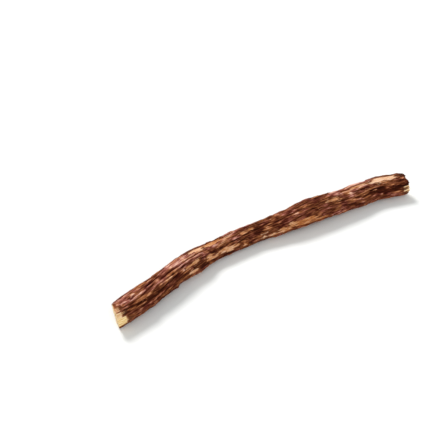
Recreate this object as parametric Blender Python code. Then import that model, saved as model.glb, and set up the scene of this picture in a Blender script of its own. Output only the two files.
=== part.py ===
"""A chewing stick: one cut length of a woody root, bark on, lying on a table.

The stick runs along X from its near cut end to its far one, and bends sideways along Y.
Its surface is a tube whose radius is worked out at each place from the swellings of the root,
the wrinkles of its bark and the patches where the bark has come off and the wood shows.
Places on it are given as "along", millimetres of X from the near cut, and "angle", degrees
round the stick: 0 is the top, 90 the side at -Y, 180 the underside and 270 the side at +Y.
"""

import math

import bmesh
import bpy
from mathutils import Vector, noise

MM = 0.001

# Driving dimensions, in millimetres and degrees
LENGTH = 148.0
BARK_THICK = 0.55

# The two cuts. A lean is positive where the top, or the side at -Y, is cut further along.
NEAR_SHIFT = -1.2
NEAR_LEAN_UP = -8.0
NEAR_LEAN_SIDE = -21.0
FAR_SHIFT = 0.6
FAR_LEAN_UP = 2.0
FAR_LEAN_SIDE = 8.0
CUT_BLEND = 14.0
NEAR_RAGGED = 0.45
FAR_RAGGED = 1.3
RAGGED_TURNS = 2.6
RAGGED_REACH = 3

# Where the near cut lies, so that the box of the whole stick is centred on the origin
NEAR_X = -73.31
NEAR_Y = -5.62

# Sideways bend: (along, towards +Y)
BEND = [
    (0, 0), (16, 3.2), (33, 7.8), (44, 10.1), (52, 11.3), (62, 11.7), (74, 11.2),
    (90, 8.9), (106, 7.7), (122, 6.1), (136, 4.8), (148, 1.4),
]
# Girth: (along, radius over the bark)
GIRTH = [
    (0, 5.1), (16, 4.95), (30, 4.75), (38, 4.8), (44, 4.75), (51, 4.15), (66, 4.0),
    (78, 4.0), (90, 4.75), (104, 5.1), (118, 4.8), (132, 4.6), (148, 4.75),
]
# Gap under the stick: (along, height above the table), which is nil at the three places it rests on
LIFT = [(0, 0.2), (9, 0), (33, 0.6), (58, 0), (98, 0.6), (138, 0), (148, 0.2)]
RESTS = [9, 58, 138]
PRESSED = 0.18
REST_REACH = 9.0
REST_FADE = 7.0
REST_HALF_ANGLE = 30.0
REST_ANGLE_FADE = 14.0

# Out of round: share of the radius for an oval and for a three-cornered section, and how each turns
OVAL = 0.045
OVAL_TURN = 1.1
THREE_CORNERED = 0.025
THREE_TURN = -1.7

# Bark wrinkles: long ridges with sharp grooves between them, over broader swellings
RIDGE_WIDTH = 1.75
RIDGE_RUN = 17.0
RIDGE_HEIGHT = 0.62
RIDGE_MEAN = 0.55
RIDGE_STEEP = 2.4
RIDGE_ROUND = 0.7
RIDGE_TWIST = 0.35
RIDGE_WANDER = 9.0
RIDGE_WANDER_RUN = 24.0
SWELL_HEIGHT = 0.28
SWELL_WIDTH = 5.0
SWELL_RUN = 13.0
BARE_SMOOTH = 0.75

# Where each noise is read, so that no two of them repeat
SEED_RIDGE = 3.0
SEED_WANDER = 5.0
SEED_SWELL = 11.0
SEED_BARE = 31.0

# Bare patches: (along, angle, half length, half width), in mm but for the angle
BARE = [
    (0.0, 92, 3.4, 3.9),
    (0.0, 250, 1.8, 3.0),
    (0.0, 330, 1.1, 2.4),
    (39.5, 96, 2.6, 1.1),
    (44.0, 56, 2.0, 0.9),
    (48.5, -13, 8.2, 0.7),
    (55.5, 80, 7.4, 1.7),
    (70.5, 106, 5.6, 1.5),
    (84.0, 101, 7.0, 1.6),
    (100.0, 104, 9.6, 2.2),
    (70.0, 8, 4.0, 0.8),
    (112.0, 24, 4.6, 1.1),
    (136.5, -14, 7.4, 1.6),
    (25.0, 236, 7.6, 1.7),
    (63.0, 214, 5.0, 1.2),
    (92.0, 262, 9.0, 1.8),
    (119.0, 206, 6.0, 1.3),
    (127.0, 300, 5.5, 1.1),
    (148.0, 76, 2.0, 3.0),
    (148.0, 285, 2.0, 2.6),
]
BARE_SQUARE = 2.6
BARE_EDGE = 0.22
BARE_RAGGED = 0.42
BARE_RAGGED_RUN = 4.0
BARE_RAGGED_WIDTH = 1.1

# Lumps: (along, angle, height, half length, half width), for a torn scale and the thick lip where bark ends
LUMPS = [
    (30.5, 134, 0.9, 1.3, 0.8),
    (43.0, 128, 0.5, 2.8, 2.6),
    (12.0, 318, 0.35, 5.0, 2.2),
    (118.0, 40, 0.4, 3.4, 2.0),
    (126.0, 150, 0.45, 4.5, 2.4),
]

# Mesh: corners round the stick, and the spacing of the rings along it
SIDES = 96
RING_STEP = 3.0
END_RINGS = [0.0, 0.7, 1.5, 2.5, 3.8, 5.4]
CAP_RINGS = [0.93, 0.84, 0.45]
CAP_DOME = 0.25


def clear_scene():
    for thing in list(bpy.data.objects):
        bpy.data.objects.remove(thing)


def smooth_step(low, high, value):
    share = min(1.0, max(0.0, (value - low) / (high - low)))
    return share * share * (3 - 2 * share)


def smooth_through(points, at):
    """The height at one place of a smooth line through (place, height) points."""
    at = min(points[-1][0], max(points[0][0], at))
    i = max(n for n in range(len(points) - 1) if points[n][0] <= at)

    def slope(n):
        a, b = points[max(n - 1, 0)], points[min(n + 1, len(points) - 1)]
        return (b[1] - a[1]) / (b[0] - a[0])

    (x0, y0), (x1, y1) = points[i], points[i + 1]
    run = x1 - x0
    t = (at - x0) / run
    return (
        (2 * t**3 - 3 * t**2 + 1) * y0
        + (t**3 - 2 * t**2 + t) * run * slope(i)
        + (3 * t**2 - 2 * t**3) * y1
        + (t**3 - t**2) * run * slope(i + 1)
    )


def angle_between(a, b):
    """Degrees from b round to a, between -180 and 180."""
    return (a - b + 180.0) % 360.0 - 180.0


def tube_noise(along, angle, width, run, seed):
    """Smooth noise that closes on itself round the stick, in cells of one width and run."""
    turn = math.radians(angle)
    reach = smooth_through(GIRTH, along) / width
    across = reach * math.cos(turn) + seed
    up = reach * math.sin(turn) - seed
    return noise.noise(Vector((across, up, along / run + seed)))


def resting(along, angle):
    """1 in the middle of the three spots that the stick lies on, 0 away from them."""
    near = min(abs(along - place) for place in RESTS)
    off = abs(angle_between(angle, 180.0))
    lengthways = 1 - smooth_step(REST_REACH, REST_REACH + REST_FADE, near)
    sideways = 1 - smooth_step(REST_HALF_ANGLE, REST_HALF_ANGLE + REST_ANGLE_FADE, off)
    return lengthways * sideways


def bareness(along, angle):
    """1 where the bark is gone, 0 where it is whole."""
    ragged = BARE_RAGGED * tube_noise(along, angle, BARE_RAGGED_WIDTH, BARE_RAGGED_RUN, SEED_BARE)
    radius = smooth_through(GIRTH, along)
    bare = 0.0
    for place, turn, half_length, half_width in BARE:
        a = abs(along - place) / half_length
        w = abs(math.radians(angle_between(angle, turn))) * radius / half_width
        if a < 2 and w < 2:
            far = (a**BARE_SQUARE + w**BARE_SQUARE) ** (1 / BARE_SQUARE) + ragged
            bare = max(bare, 1 - smooth_step(1 - BARE_EDGE, 1 + BARE_EDGE, far))
    return bare


def wrinkles(along, angle):
    """Height of the bark's ridges over its mean, negative in a groove."""
    place = Vector((along / RIDGE_WANDER_RUN, math.cos(math.radians(angle)), SEED_WANDER))
    turned = angle + RIDGE_TWIST * along + RIDGE_WANDER * noise.noise(place)
    crease = abs(tube_noise(along, turned, RIDGE_WIDTH, RIDGE_RUN, SEED_RIDGE))
    ridge = min(1.0, RIDGE_STEEP * crease) ** RIDGE_ROUND - RIDGE_MEAN
    swell = tube_noise(along, turned, SWELL_WIDTH, SWELL_RUN, SEED_SWELL)
    return RIDGE_HEIGHT * ridge + SWELL_HEIGHT * swell


def lump(along, angle):
    height = 0.0
    radius = smooth_through(GIRTH, along)
    for place, turn, top, half_length, half_width in LUMPS:
        a = (along - place) / half_length
        w = math.radians(angle_between(angle, turn)) * radius / half_width
        height += top * math.exp(-(a * a + w * w))
    return height


def radius_at(along, angle):
    """Distance of the surface from the middle of the stick."""
    turn = math.radians(angle)
    spin = math.radians(along)
    plain = smooth_through(GIRTH, along) * (
        1
        + OVAL * math.cos(2 * turn + OVAL_TURN * spin)
        + THREE_CORNERED * math.cos(3 * turn + THREE_TURN * spin)
    )
    calm = 1 - resting(along, angle)
    bare = bareness(along, angle)
    relief = wrinkles(along, angle) * (1 - BARE_SMOOTH * bare) + lump(along, angle)
    return plain + calm * (relief - BARK_THICK * bare)


def middle(along):
    """Middle of the stick, and its sideways direction there as a unit vector that points at -Y."""
    step = 0.5
    rise = (smooth_through(BEND, along + step) - smooth_through(BEND, along - step)) / (2 * step)
    side = Vector((rise, -1.0, 0.0)).normalized()
    rest = resting(along, 180.0)
    below = radius_at(along, 180.0) * rest + smooth_through(GIRTH, along) * (1 - rest)
    height = below + smooth_through(LIFT, along) - PRESSED
    return Vector((NEAR_X + along, NEAR_Y + smooth_through(BEND, along), height)), side


def cut_shift(along, angle, radius):
    """How far the leaning, torn cuts shift a point of an end ring along the stick."""
    turn = math.radians(angle)
    up = radius * math.cos(turn)
    side = radius * math.sin(turn)
    near = max(0.0, 1 - along / CUT_BLEND)
    far = max(0.0, 1 - (LENGTH - along) / CUT_BLEND)
    leaning = near * (
        NEAR_SHIFT + up * math.tan(math.radians(NEAR_LEAN_UP)) + side * math.tan(math.radians(NEAR_LEAN_SIDE))
    ) + far * (
        FAR_SHIFT + up * math.tan(math.radians(FAR_LEAN_UP)) + side * math.tan(math.radians(FAR_LEAN_SIDE))
    )
    torn = noise.noise(Vector((RAGGED_TURNS * math.cos(turn), RAGGED_TURNS * math.sin(turn), near - far)))
    ragged = NEAR_RAGGED * near**RAGGED_REACH + FAR_RAGGED * far**RAGGED_REACH
    return leaning + ragged * torn * radius / smooth_through(GIRTH, along)


def surface_point(along, angle, share=1.0, beyond=0.0):
    """A point at a share of the surface's radius, in metres, pressed flat where it meets the table."""
    centre, side = middle(along)
    radius = share * radius_at(along, angle)
    turn = math.radians(angle)
    tangent = Vector((-side.y, side.x, 0.0))
    point = (
        centre
        + side * (radius * math.sin(turn))
        + Vector((0, 0, radius * math.cos(turn)))
        + tangent * (cut_shift(along, angle, radius) + beyond)
    )
    point.z = max(point.z, 0.0)
    return point * MM


def ring_places():
    """Places of the rings, closer together at both cut ends."""
    last = END_RINGS[-1]
    count = round((LENGTH - 2 * last) / RING_STEP)
    between = [last + (LENGTH - 2 * last) * n / count for n in range(1, count)]
    return END_RINGS + between + [LENGTH - place for place in reversed(END_RINGS)]


def add_ring(mesh, along, share=1.0, beyond=0.0):
    return [mesh.verts.new(surface_point(along, 360.0 * n / SIDES, share, beyond)) for n in range(SIDES)]


def join_rings(mesh, first, second):
    for n in range(SIDES):
        after = (n + 1) % SIDES
        mesh.faces.new((first[n], first[after], second[after], second[n]))


def close_end(mesh, rim, along, outwards):
    """Fills a cut end with rings of wood that rise a little towards the middle."""
    last = rim
    for share in CAP_RINGS:
        ring = add_ring(mesh, along, share, outwards * CAP_DOME * (1 - share))
        join_rings(mesh, last, ring)
        last = ring
    heart = mesh.verts.new(surface_point(along, 0.0, 0.0, outwards * CAP_DOME))
    for n in range(SIDES):
        mesh.faces.new((last[n], last[(n + 1) % SIDES], heart))


def bark_material():
    """Dry root bark: rough, reddish brown and without shine."""
    material = bpy.data.materials.new("root_bark")
    material.use_nodes = True
    shader = material.node_tree.nodes["Principled BSDF"]
    shader.inputs["Base Color"].default_value = (0.130, 0.045, 0.025, 1.0)
    shader.inputs["Roughness"].default_value = 0.8
    shader.inputs["Metallic"].default_value = 0.0
    return material


def make_stick():
    mesh = bmesh.new()
    rings = [add_ring(mesh, along) for along in ring_places()]
    for first, second in zip(rings, rings[1:]):
        join_rings(mesh, first, second)
    close_end(mesh, rings[0], 0.0, -1.0)
    close_end(mesh, rings[-1], LENGTH, 1.0)
    bmesh.ops.triangulate(mesh, faces=mesh.faces[:])
    bmesh.ops.recalc_face_normals(mesh, faces=mesh.faces[:])
    data = bpy.data.meshes.new("stick")
    mesh.to_mesh(data)
    mesh.free()
    data.materials.append(bark_material())
    data.shade_smooth()
    stick = bpy.data.objects.new("stick", data)
    bpy.context.scene.collection.objects.link(stick)
    return stick


clear_scene()
make_stick()
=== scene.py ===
# %% [markdown]
# # A chewing stick
# A chewing stick is a hand's length of root, dug up, cut at both ends and dried with its bark on. Nothing
# on it is made by hand but the two cuts, so its looks come from growth, drying and handling: furrowed
# reddish bark, strips where the bark has been rubbed off, and pale wood at the ends.
#
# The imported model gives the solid: its course, its girth and its place on the table. This file lays a
# finer skin over that solid, with every furrow as real shape, and then gives the skin its colours.

# %% Load the frame
import math
import random

import bpy
import numpy as np
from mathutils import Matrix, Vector, noise


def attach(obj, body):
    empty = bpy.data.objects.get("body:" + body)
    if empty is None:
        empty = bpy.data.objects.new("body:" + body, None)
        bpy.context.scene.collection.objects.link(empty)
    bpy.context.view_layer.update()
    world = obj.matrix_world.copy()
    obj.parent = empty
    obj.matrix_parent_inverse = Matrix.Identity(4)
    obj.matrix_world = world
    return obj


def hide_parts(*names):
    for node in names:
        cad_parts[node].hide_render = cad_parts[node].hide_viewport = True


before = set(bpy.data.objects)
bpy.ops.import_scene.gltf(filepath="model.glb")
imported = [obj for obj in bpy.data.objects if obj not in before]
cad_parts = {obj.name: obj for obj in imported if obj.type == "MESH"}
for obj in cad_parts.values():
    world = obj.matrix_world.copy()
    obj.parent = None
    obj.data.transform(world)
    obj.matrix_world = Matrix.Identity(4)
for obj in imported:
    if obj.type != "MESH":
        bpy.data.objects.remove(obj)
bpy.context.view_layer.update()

MM = 0.001

# %% [markdown]
# ## Camera
# The photo looks down on the table from about 40 degrees, from the near end's side, through a long lens
# that hardly narrows the far end. An 18 degree field from 0.59 m gives that. The stick keeps its place in
# the frame, low and to the right.

# %% Camera
VIEW_AZIMUTH = -33.99
VIEW_ELEVATION = 40.0
VIEW_FIELD = 18.0
VIEW_DISTANCE = 588.27
VIEW_TARGET = Vector((-6.69, 23.92, 5.0))

turn, tilt = math.radians(VIEW_AZIMUTH), math.radians(VIEW_ELEVATION)
towards_camera = Vector((math.sin(turn) * math.cos(tilt), -math.cos(turn) * math.cos(tilt), math.sin(tilt)))
camera_data = bpy.data.cameras.new("camera")
camera_data.sensor_width = 36.0
camera_data.angle = math.radians(VIEW_FIELD)
camera_data.clip_start = 0.01
camera_data.clip_end = 10.0
camera = bpy.data.objects.new("camera", camera_data)
camera.location = (VIEW_TARGET + towards_camera * VIEW_DISTANCE) * MM
camera.rotation_euler = (-towards_camera).to_track_quat("-Z", "Y").to_euler()
bpy.context.scene.collection.objects.link(camera)
bpy.context.scene.camera = camera
print("lens, mm:", round(camera_data.lens, 1))

# %% [markdown]
# ## Materials: small helpers
# Colours are given as sRGB hex values, as a paint program shows them, and shaders work in linear
# light, so one function turns the first into the second. One fills in a node's inputs and one adds a node
# with its settings and inputs, which keeps each material short enough to read as a recipe.

# %% Colour and node helpers
def linear(hex_colour):
    """The linear colour, with alpha 1, of an sRGB value such as #D9AE74."""
    shares = [int(hex_colour[i:i + 2], 16) / 255 for i in (1, 3, 5)]
    return [s / 12.92 if s <= 0.04045 else ((s + 0.055) / 1.055) ** 2.4 for s in shares] + [1.0]


def set_inputs(owner, node, inputs):
    """Gives each input a number or a colour, or joins it to an output or to another node's first output."""
    for name, value in inputs.items():
        if isinstance(value, bpy.types.Node):
            value = value.outputs[0]
        if isinstance(value, bpy.types.NodeSocket):
            owner.node_tree.links.new(value, node.inputs[name])
        else:
            node.inputs[name].default_value = value


def add_node(material, kind, inputs=None, stops=None, **settings):
    """Adds a node with its settings and inputs, and the (place, colour) stops of a ramp."""
    made = material.node_tree.nodes.new(kind)
    for name, value in settings.items():
        setattr(made, name, value)
    set_inputs(material, made, inputs or {})
    for i, (place, colour) in enumerate(stops or []):
        ramp = made.color_ramp.elements
        stop = ramp[i] if i < 2 else ramp.new(place)
        stop.position = place
        stop.color = linear(colour)
    return made


def new_material(name):
    """An empty material, and the shader that its pattern feeds."""
    material = bpy.data.materials.new(name)
    material.use_nodes = True
    return material, material.node_tree.nodes["Principled BSDF"]


# %% [markdown]
# ## Floor and light
# A sheet of matt white paper under one soft light, high behind the stick. It throws the short shadow on the
# near side and leaves that side of the bark dark, while it brings out the crests on top. A white card in
# front and the pale surroundings fill the shadow.

# %% Floor and light
FLOOR_SIZE = 3.0
KEY_SIZE = 0.5
KEY_POWER = 17.0
KEY_DISTANCE = 1.5
KEY_FROM = Vector((-0.02, 0.68, 0.76))
CARD_SIZE = 1.2
CARD_POWER = 5.0
CARD_PLACE = Vector((-0.25, -1.0, 0.75))
FILL_STRENGTH = 0.56

paper, paper_shader = new_material("matt_paper")
paper_grain = add_node(paper, "ShaderNodeTexNoise", {"Scale": 900.0, "Detail": 3.0})
paper_bump = add_node(paper, "ShaderNodeBump", {"Strength": 0.05, "Distance": 0.0001, "Height": paper_grain})
set_inputs(paper, paper_shader, {"Base Color": linear("#F6F6F5"), "Roughness": 0.9, "Normal": paper_bump})

bpy.ops.object.select_all(action="DESELECT")
bpy.ops.mesh.primitive_plane_add(size=FLOOR_SIZE)
floor = bpy.context.object
floor.name = "paper_floor"
floor.data.materials.append(paper)


def add_light(name, shape, size, power, place):
    """A flat light that faces the middle of the stick."""
    data = bpy.data.lights.new(name, "AREA")
    data.shape = shape
    data.size = size
    data.energy = power
    light = bpy.data.objects.new(name, data)
    light.location = place
    light.rotation_euler = place.to_track_quat("Z", "Y").to_euler()
    bpy.context.scene.collection.objects.link(light)


add_light("key_light", "DISK", KEY_SIZE, KEY_POWER, KEY_FROM.normalized() * KEY_DISTANCE)
add_light("fill_card", "SQUARE", CARD_SIZE, CARD_POWER, CARD_PLACE)

world = bpy.data.worlds.new("pale_room")
world.use_nodes = True
room = world.node_tree.nodes["Background"]
set_inputs(world, room, {"Color": linear("#F8FCFB"), "Strength": FILL_STRENGTH})
bpy.context.scene.world = world
bpy.context.scene.view_settings.view_transform = "Standard"
print("light from", [round(v, 2) for v in KEY_FROM])

# %% [markdown]
# ## The root's course
# A root bends where it met stones, swells and thins, and is never quite round. Its places are told by two
# numbers: "along", in millimetres from the near cut, and "angle", in degrees round it, where 0 is the top,
# 90 the side that faces the camera, 180 the underside and 270 the far side. These are the same sizes as
# the solid's, so the skin lies on it.

# %% Sizes that the solid has too
LENGTH = 148.0
BARK_THICK = 0.55
NEAR_PLACE = Vector((-73.31, -5.62, 0.0))

BEND = [
    (0, 0), (16, 3.2), (33, 7.8), (44, 10.1), (52, 11.3), (62, 11.7), (74, 11.2),
    (90, 8.9), (106, 7.7), (122, 6.1), (136, 4.8), (148, 1.4),
]
GIRTH = [
    (0, 5.1), (16, 4.95), (30, 4.75), (38, 4.8), (44, 4.75), (51, 4.15), (66, 4.0),
    (78, 4.0), (90, 4.75), (104, 5.1), (118, 4.8), (132, 4.6), (148, 4.75),
]
OVAL, OVAL_TURN = 0.045, 1.1
THREE_CORNERED, THREE_TURN = 0.025, -1.7

# The root touches the table at three places, where it is pressed flat by PRESSED
LIFT = [(0, 0.2), (9, 0), (33, 0.6), (58, 0), (98, 0.6), (138, 0), (148, 0.2)]
RESTS = [9, 58, 138]
PRESSED = 0.18
REST_REACH, REST_FADE = 9.0, 7.0
REST_HALF_ANGLE, REST_ANGLE_FADE = 30.0, 14.0

# %% Reading the course
def smooth_step(low, high, value):
    """0 at the low end and beyond it, 1 at the high end and beyond it, and smooth between them."""
    share = np.clip((value - low) / (high - low), 0.0, 1.0)
    return share * share * (3 - 2 * share)


def smooth_through(points, at):
    """The height at each place of a smooth line through (place, height) points."""
    place, height = np.array(points, dtype=float).T
    number = np.arange(len(place))
    before, after = np.maximum(number - 1, 0), np.minimum(number + 1, len(place) - 1)
    slope = (height[after] - height[before]) / (place[after] - place[before])
    at = np.clip(at, place[0], place[-1])
    i = np.clip(np.searchsorted(place, at, side="right") - 1, 0, len(place) - 2)
    run = place[i + 1] - place[i]
    t = (at - place[i]) / run
    return (
        (2 * t**3 - 3 * t**2 + 1) * height[i]
        + (t**3 - 2 * t**2 + t) * run * slope[i]
        + (3 * t**2 - 2 * t**3) * height[i + 1]
        + (t**3 - t**2) * run * slope[i + 1]
    )


def angle_between(a, b):
    """Degrees from b round to a, between -180 and 180."""
    return (a - b + 180.0) % 360.0 - 180.0


def resting(along, angle):
    """1 in the middle of the three spots that the stick lies on, 0 away from them."""
    near = np.min([np.abs(along - place) for place in RESTS], axis=0)
    off = np.abs(angle_between(angle, 180.0))
    lengthways = 1 - smooth_step(REST_REACH, REST_REACH + REST_FADE, near)
    sideways = 1 - smooth_step(REST_HALF_ANGLE, REST_HALF_ANGLE + REST_ANGLE_FADE, off)
    return lengthways * sideways


print("girth at 0, 66 and 104 mm:", smooth_through(GIRTH, np.array([0, 66, 104])).round(2))

# %% [markdown]
# ## Furrows and wrinkles
# Root bark grows in thickness from inside, so its dead outer layer is stretched sideways and splits into
# long furrows. As the root dries it shrinks and the ridges between them wrinkle. Smooth noise that is
# stretched along the root gives both: where it passes through zero, its size folds into a sharp furrow.
# The noise is read on a tube, so it closes on itself round the stick.

# %% Noise on the tube
SEED_RIDGE, SEED_WANDER, SEED_SWELL, SEED_BARE = 3.0, 5.0, 11.0, 31.0
SEED_WRINKLE, SEED_FIBRE, SEED_PLATE = 47.0, 59.0, 71.0
SEED_CHECK, SEED_FLAKE, SEED_BREAK = 83.0, 97.0, 109.0


def read_noise(x, y, z):
    return np.array([noise.noise(place) for place in zip(x.tolist(), y.tolist(), z.tolist())])


def tube_noise(along, angle, width, run, seed):
    """Smooth noise in cells of one width round the stick and one run along it, in mm."""
    turn = np.radians(angle)
    reach = smooth_through(GIRTH, along) / width
    return read_noise(reach * np.cos(turn) + seed, reach * np.sin(turn) - seed, along / run + seed)


# %% The broad ridges, as on the solid
RIDGE_WIDTH, RIDGE_RUN, RIDGE_HEIGHT = 1.75, 17.0, 0.62
RIDGE_STEEP, RIDGE_ROUND, RIDGE_MEAN = 2.4, 0.7, 0.55
RIDGE_TWIST, RIDGE_WANDER, RIDGE_WANDER_RUN = 0.35, 9.0, 24.0
SWELL_WIDTH, SWELL_RUN, SWELL_HEIGHT = 5.0, 13.0, 0.28


def wandered(along, angle):
    """The angle that the grain has at each place, which twists and wanders along the stick."""
    turn = np.radians(angle)
    wander = read_noise(along / RIDGE_WANDER_RUN, np.cos(turn), np.full_like(along, SEED_WANDER))
    return angle + RIDGE_TWIST * along + RIDGE_WANDER * wander


def furrowed(value):
    """Folds smooth noise into rounded ridges with sharp furrows between them, from 0 to 1."""
    return np.minimum(1.0, RIDGE_STEEP * np.abs(value)) ** RIDGE_ROUND


def broad_ridges(along, grain):
    ridge = furrowed(tube_noise(along, grain, RIDGE_WIDTH, RIDGE_RUN, SEED_RIDGE)) - RIDGE_MEAN
    swell = tube_noise(along, grain, SWELL_WIDTH, SWELL_RUN, SEED_SWELL)
    return RIDGE_HEIGHT * ridge, SWELL_HEIGHT * swell


# %% [markdown]
# The ridges that catch the eye in the photo are put in one by one, as a sculptor would press and pull
# them with a narrow tool: each is a line from one place to another, raised or sunk, that fades at both
# ends. Between them the noise fills in the rest.

# %% Ridges and furrows, given one by one
# (start, its angle, end, its angle, height in mm, half width in mm)
CRESTS = [
    (2, 22, 9, 18, 0.25, 0.3), (2, -9, 8, -12, 0.26, 0.28), (3, 78, 10, 76, 0.23, 0.32),
    (6, -24, 15, -22, 0.28, 0.3), (8, 58, 14, 57, 0.3, 0.32), (9, 16, 13, 14, 0.39, 0.36),
    (12, 43, 21, 22, 0.34, 0.27), (12.5, 11, 20, 10, 0.3, 0.29), (20, 40, 30, 38, 0.23, 0.29),
    (23, 8, 34, 8, 0.34, 0.3), (24, 25, 48, 28, 0.34, 0.27), (28, 0, 38, -2, 0.28, 0.32),
    (34, 12, 46, 14, 0.3, 0.27), (52, 12, 60, 10, 0.21, 0.29), (57, 30, 64, 30, 0.23, 0.29),
    (63, 34, 70, 40, 0.25, 0.26), (124, 62, 132, 80, 0.25, 0.29), (129, 25, 136, 27, 0.32, 0.26),
    (138, 44, 143, 41, 0.28, 0.32), (142, 14, 147, 18, 0.23, 0.29),
]
FURROWS = [
    (1, 42, 4, 50, -0.34, 0.36), (2, -16, 12, -17, -0.34, 0.26), (4, 29, 13, 30, -0.34, 0.3),
    (5, 8, 9.5, 8, -0.37, 0.4), (6, 45, 12, 50, -0.28, 0.3), (7, 68, 14, 70, -0.28, 0.26),
    (12, 19, 19, 19, -0.3, 0.23), (12, 60, 20, 66, -0.34, 0.3), (15, 0, 22, -4, -0.28, 0.26),
    (21, 55, 34, 50, -0.34, 0.27), (21, 72, 24, 78, -0.34, 0.32), (22, 18, 38, 17, -0.48, 0.24),
    (26, 36, 39, 33, -0.41, 0.27), (36, 86, 39.5, 79, -0.41, 0.43), (48, 101, 60, 112, -0.32, 0.3),
    (50, 56, 55, 48, -0.41, 0.3), (55, 47, 66, 38, -0.48, 0.26), (56, 20, 64, 17, -0.3, 0.22),
    (66, 50, 71, 62, -0.3, 0.3), (123, 17, 131, 19, -0.48, 0.3), (131, 38, 140, 45, -0.57, 0.5),
    (141, 48, 148, 55, -0.48, 0.45),
]
STROKE_FADE = 1.6
STROKE_WAVER, STROKE_WAVER_RUN = 4.0, 6.0


def drawn_lines(lines, along, angle):
    """The sum of the raised and sunk lines at each place, in mm."""
    total = np.zeros_like(along)
    radius = smooth_through(GIRTH, along)
    places = along / STROKE_WAVER_RUN, np.radians(angle), np.full_like(along, SEED_WANDER)
    waver = STROKE_WAVER * read_noise(*places)
    for start, start_angle, end, end_angle, height, half_width in lines:
        line = start_angle + (end_angle - start_angle) * np.clip((along - start) / (end - start), 0, 1)
        off = np.radians(angle_between(angle + waver, line)) * radius / half_width
        beyond = np.maximum(start - along, along - end)
        total += height * np.exp(-(off**2)) * (1 - smooth_step(-STROKE_FADE, STROKE_FADE, beyond))
    return total


# %% [markdown]
# Finer things ride on the ridges. The dead skin has split into flakes. Under it the drying root shrank, so
# its skin folded into thin sharp wrinkles: smooth noise again, but raised where it passes through zero, and
# broken into short lengths. Hair-fine fibres lie over both, and here and there the outermost cork has come
# off in small plates, which leave steps. The plates are the cells of a Voronoi pattern, stretched along the
# root, each at its own height, and short cracks run across the highest ones.

# %% Sizes of the fine relief
# Widths round the stick, runs along it, heights and depths are in mm. The rest are levels or shares of noise
FLAKE_WIDTH, FLAKE_RUN, FLAKE_HEIGHT, FLAKE_MEAN = 0.62, 3.8, 0.20, 0.5
FLAKE_LOW, FLAKE_HIGH = -0.10, 0.22
WRINKLE_HEIGHT, WRINKLE_MEAN, WRINKLE_SHARP = 0.22, 0.3, 0.17
LONG_WIDTH, LONG_RUN = 1.0, 8.0
SHORT_WIDTH, SHORT_RUN, SHORT_SHARE = 0.55, 4.2, 0.85
BREAK_WIDTH, BREAK_RUN, BREAK_LOW, BREAK_HIGH = 1.3, 2.6, -0.2, 0.15
BROKEN_SHARE = 0.3
FIBRE_WIDTH, FIBRE_RUN, FIBRE_HEIGHT = 0.26, 3.2, 0.05
PLATE_WIDTH, PLATE_RUN, PLATE_HEIGHT = 1.5, 5.5, 0.11
SEAM_DEPTH, SEAM_REACH = 0.06, 0.12
CHECK_WIDTH, CHECK_RUN, CHECK_DEPTH, CHECK_REACH = 1.6, 1.3, 0.16, 0.10
CHECKED_LOW, CHECKED_HIGH = 0.1, 0.4


# %% Plates, flakes and wrinkles
def plates(along, grain):
    """The height of each cork plate, from -1 to 1, and how near a place is to its plate's edge."""
    turn = np.radians(grain)
    reach = smooth_through(GIRTH, along) / PLATE_WIDTH
    places = np.stack([reach * np.cos(turn), reach * np.sin(turn), along / PLATE_RUN], axis=1)
    level, gap = [], []
    for place in places.tolist():
        far, centres = noise.voronoi(Vector(place))
        level.append(noise.noise(centres[0] * SEED_PLATE))
        gap.append(far[1] - far[0])
    return np.array(level), np.array(gap)


def flakes(along, grain):
    """1 on the broken crests that the skin of the bark has split into, 0 between them."""
    coarse = tube_noise(along, grain, FLAKE_WIDTH, FLAKE_RUN, SEED_FLAKE)
    small = tube_noise(along, grain, FLAKE_WIDTH / 2, FLAKE_RUN / 2, SEED_FLAKE)
    return smooth_step(FLAKE_LOW, FLAKE_HIGH, coarse + small / 2)


def wrinkles(along, grain):
    """1 on the thin crests of the folded skin, 0 between them."""
    long = 1 - np.abs(tube_noise(along, grain, LONG_WIDTH, LONG_RUN, SEED_WRINKLE)) / WRINKLE_SHARP
    short = 1 - np.abs(tube_noise(along, grain, SHORT_WIDTH, SHORT_RUN, SEED_WRINKLE)) / WRINKLE_SHARP
    whole = tube_noise(along, grain, BREAK_WIDTH, BREAK_RUN, SEED_BREAK)
    unbroken = BROKEN_SHARE + (1 - BROKEN_SHARE) * smooth_step(BREAK_LOW, BREAK_HIGH, whole)
    return np.maximum(0.0, np.maximum(long, SHORT_SHARE * short)) * unbroken


def fine_bark(along, grain, flake, wrinkle):
    """Height of the fine relief of the bark over its broad ridges, in mm."""
    fibre = tube_noise(along, grain, FIBRE_WIDTH, FIBRE_RUN, SEED_FIBRE)
    level, gap = plates(along, grain)
    across = np.abs(tube_noise(along, grain, CHECK_WIDTH, CHECK_RUN, SEED_CHECK))
    seam = smooth_step(SEAM_REACH, 0.0, gap)
    check = smooth_step(CHECK_REACH, 0.0, across) * smooth_step(CHECKED_LOW, CHECKED_HIGH, level)
    height = FLAKE_HEIGHT * (flake - FLAKE_MEAN) + WRINKLE_HEIGHT * (wrinkle - WRINKLE_MEAN)
    height += FIBRE_HEIGHT * fibre + PLATE_HEIGHT * level
    return height - SEAM_DEPTH * seam - CHECK_DEPTH * check
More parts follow.
